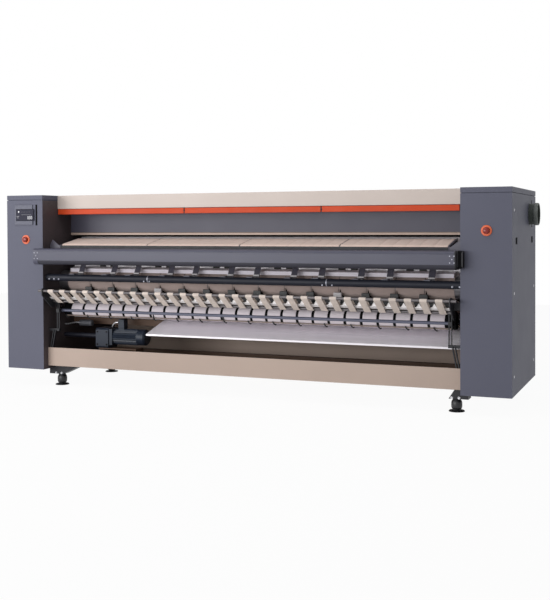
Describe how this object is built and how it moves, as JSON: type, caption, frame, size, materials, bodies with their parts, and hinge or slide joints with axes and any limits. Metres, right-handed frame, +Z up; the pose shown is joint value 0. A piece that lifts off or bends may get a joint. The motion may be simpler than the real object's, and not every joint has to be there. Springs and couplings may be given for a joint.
{
  "type": "flatwork ironer",
  "caption": "Cylinder flatwork ironer with feed table, finger guard, belts, comb of exit tapes, slide and two end cabinets with controls.",
  "frame": {"origin": "on the floor, in the middle of the machine's plan outline", "axes": "+X along the cylinder to the operator's right, +Y from the feeding side to the back, +Z up"},
  "size_m": [4.065, 1.177, 1.521],
  "materials": {
    "cabinet_paint": "satin powder coat, dark blue-grey",
    "cream_paint": "satin powder coat, cream",
    "pan_paint": "satin powder coat, beige",
    "nose_paint": "satin paint, blue-grey",
    "dark_paint": "satin paint, near black",
    "beam_paint": "satin paint, dark blue-grey",
    "orange_paint": "gloss paint, orange",
    "white_paint": "satin paint, off-white",
    "motor_paint": "semi-gloss paint, slate blue",
    "duct_paint": "satin paint, dark green-grey",
    "polished_steel": "ground and polished",
    "stainless": "brushed stainless sheet",
    "roller_metal": "turned and plated tube",
    "bearing_iron": "painted casting",
    "chain_steel": "oiled steel",
    "element_metal": "heat-tinted steel sheath",
    "ironing_felt": "woven polyester felt, beige grey",
    "feed_fabric": "woven cotton canvas, pale beige",
    "tape_fabric": "woven tape, beige",
    "exit_fabric": "woven belt, off-white",
    "guide_plastic": "black plastic",
    "pad_plastic": "black heat-proof pad",
    "foot_plastic": "black moulded foot",
    "panel_plastic": "grey moulded plate",
    "screen_glass": "dark grey display window",
    "collar_plastic": "yellow-orange ring",
    "button_plastic": "red mushroom button"
  },
  "bodies": {
    "machine": {"base_frame": "dark_paint", "base_pan": "pan_paint", "belt_guides": "guide_plastic", "cabinet_caps": "cabinet_paint", "control_plate": "panel_plastic", "control_screen": "screen_glass", "cross_tube": "beam_paint", "cylinder_bearings": "bearing_iron", "drive_chain": "chain_steel", "end_plates": "nose_paint", "exhaust_duct": "duct_paint", "exit_belts": "exit_fabric", "exit_comb": "stainless", "exit_supports": "dark_paint", "exit_tapes": "tape_fabric", "feed_belts": "feed_fabric", "feed_lip": "pan_paint", "feed_table": "stainless", "foot_brackets": "dark_paint", "gearbox": "motor_paint", "guard_hinge": "dark_paint", "heat_shield": "nose_paint", "heating_elements": "element_metal", "hood": "cream_paint", "ironing_belts": "ironing_felt", "left_cabinet": "cabinet_paint", "levelling_feet": "foot_plastic", "linen_slide": "stainless", "motor": "motor_paint", "nose_bar": "nose_paint", "nose_underside": "nose_paint", "rear_covers": "cabinet_paint", "right_cabinet": "cabinet_paint", "side_plates": "dark_paint", "stop_collars": "collar_plastic", "table_brackets": "dark_paint", "table_front": "white_paint", "terminal_box": "motor_paint"},
    "cylinder_body": {"cylinder": "polished_steel", "cylinder_heads": "bearing_iron", "cylinder_sprocket": "chain_steel"},
    "drive_sprocket_body": {"drive_sprocket": "chain_steel"},
    "stripper": {"stripper_tube": "beam_paint", "stripper_arms": "dark_paint", "stripper_pads": "pad_plastic"},
    "top_roller_body": {"top_roller": "roller_metal"},
    "press_roller_body": {"press_roller": "roller_metal"},
    "rear_lower_roller_body": {"rear_lower_roller": "roller_metal"},
    "tension_roller_body": {"tension_roller": "roller_metal"},
    "exit_roller_body": {"exit_roller": "roller_metal"},
    "exit_rear_roller_body": {"exit_rear_roller": "roller_metal"},
    "feed_front_roller_body": {"feed_front_roller": "roller_metal"},
    "feed_rear_roller_body": {"feed_rear_roller": "roller_metal"},
    "tape_front_rod_body": {"tape_front_rod": "roller_metal"},
    "tape_rear_rod_body": {"tape_rear_rod": "roller_metal"},
    "finger_guard_left_body": {"finger_guard_left": "orange_paint"},
    "finger_guard_middle_body": {"finger_guard_middle": "orange_paint"},
    "finger_guard_right_body": {"finger_guard_right": "orange_paint"},
    "stop_button_left_body": {"stop_button_left": "button_plastic"},
    "stop_button_right_body": {"stop_button_right": "button_plastic"}
  },
  "joints": [
    {"name": "cylinder_spin", "type": "hinge", "parent": "machine", "child": "cylinder_body", "pos_m": [-0.0325, 0.1085, 0.976], "axis": [1, 0, 0], "continuous": true},
    {"name": "top_roller_spin", "type": "hinge", "parent": "machine", "child": "top_roller_body", "pos_m": [-0.0325, -0.01671, 1.26396], "axis": [1, 0, 0], "continuous": true},
    {"name": "press_roller_spin", "type": "hinge", "parent": "machine", "child": "press_roller_body", "pos_m": [-0.0325, -0.19371, 0.83379], "axis": [1, 0, 0], "continuous": true},
    {"name": "rear_lower_roller_spin", "type": "hinge", "parent": "machine", "child": "rear_lower_roller_body", "pos_m": [-0.0325, 0.4335, 0.65], "axis": [1, 0, 0], "continuous": true},
    {"name": "tension_roller_spin", "type": "hinge", "parent": "machine", "child": "tension_roller_body", "pos_m": [-0.0325, 0.4535, 1.3], "axis": [1, 0, 0], "continuous": true},
    {"name": "exit_roller_spin", "type": "hinge", "parent": "machine", "child": "exit_roller_body", "pos_m": [-0.0325, -0.2565, 0.603], "axis": [1, 0, 0], "continuous": true},
    {"name": "exit_rear_roller_spin", "type": "hinge", "parent": "machine", "child": "exit_rear_roller_body", "pos_m": [-0.0325, 0.0085, 0.6], "axis": [1, 0, 0], "continuous": true},
    {"name": "feed_front_roller_spin", "type": "hinge", "parent": "machine", "child": "feed_front_roller_body", "pos_m": [-0.0325, -0.3595, 1.107], "axis": [1, 0, 0], "continuous": true},
    {"name": "feed_rear_roller_spin", "type": "hinge", "parent": "machine", "child": "feed_rear_roller_body", "pos_m": [-0.0325, -0.1462, 1.14692], "axis": [1, 0, 0], "continuous": true},
    {"name": "tape_front_rod_spin", "type": "hinge", "parent": "machine", "child": "tape_front_rod_body", "pos_m": [-0.0325, -0.5645, 0.768], "axis": [1, 0, 0], "continuous": true},
    {"name": "tape_rear_rod_spin", "type": "hinge", "parent": "machine", "child": "tape_rear_rod_body", "pos_m": [-0.0325, -0.4315, 0.68], "axis": [1, 0, 0], "continuous": true},
    {"name": "drive_sprocket_spin", "type": "hinge", "parent": "machine", "child": "drive_sprocket_body", "pos_m": [-0.0325, -0.1915, 0.389], "axis": [1, 0, 0], "continuous": true},
    {"name": "finger_guard_left_swing", "type": "hinge", "parent": "machine", "child": "finger_guard_left_body", "pos_m": [-0.0325, -0.2695, 1.402], "axis": [1, 0, 0], "range_deg": [0, 12], "stiffness_Nm_per_rad": 3, "springref_deg": -22.92},
    {"name": "finger_guard_middle_swing", "type": "hinge", "parent": "machine", "child": "finger_guard_middle_body", "pos_m": [-0.0325, -0.2695, 1.402], "axis": [1, 0, 0], "range_deg": [0, 12], "stiffness_Nm_per_rad": 3, "springref_deg": -22.92},
    {"name": "finger_guard_right_swing", "type": "hinge", "parent": "machine", "child": "finger_guard_right_body", "pos_m": [-0.0325, -0.2695, 1.402], "axis": [1, 0, 0], "range_deg": [0, 12], "stiffness_Nm_per_rad": 3, "springref_deg": -22.92},
    {"name": "stripper_tilt", "type": "hinge", "parent": "machine", "child": "stripper", "pos_m": [-0.0325, -0.4315, 0.868], "axis": [1, 0, 0], "range_deg": [0, 8]},
    {"name": "stop_button_left_press", "type": "slide", "parent": "machine", "child": "stop_button_left_body", "axis": [0, 1, 0], "range_m": [0, 0.004], "stiffness_N_per_m": 800, "springref_m": -0.004},
    {"name": "stop_button_right_press", "type": "slide", "parent": "machine", "child": "stop_button_right_body", "axis": [0, 1, 0], "range_m": [0, 0.004], "stiffness_N_per_m": 800, "springref_m": -0.004}
  ],
  "couplings": [
    {"joint": "top_roller_spin", "follows": "cylinder_spin", "ratio": -4.1667},
    {"joint": "press_roller_spin", "follows": "cylinder_spin", "ratio": -3.125},
    {"joint": "rear_lower_roller_spin", "follows": "cylinder_spin", "ratio": -5.5556},
    {"joint": "tension_roller_spin", "follows": "cylinder_spin", "ratio": -5.5556},
    {"joint": "exit_roller_spin", "follows": "cylinder_spin", "ratio": 4.5454},
    {"joint": "exit_rear_roller_spin", "follows": "cylinder_spin", "ratio": 5.5556},
    {"joint": "feed_front_roller_spin", "follows": "cylinder_spin", "ratio": 10},
    {"joint": "feed_rear_roller_spin", "follows": "cylinder_spin", "ratio": 10},
    {"joint": "tape_front_rod_spin", "follows": "cylinder_spin", "ratio": 25},
    {"joint": "tape_rear_rod_spin", "follows": "cylinder_spin", "ratio": 25},
    {"joint": "drive_sprocket_spin", "follows": "cylinder_spin", "ratio": 2.3077}
  ]
}
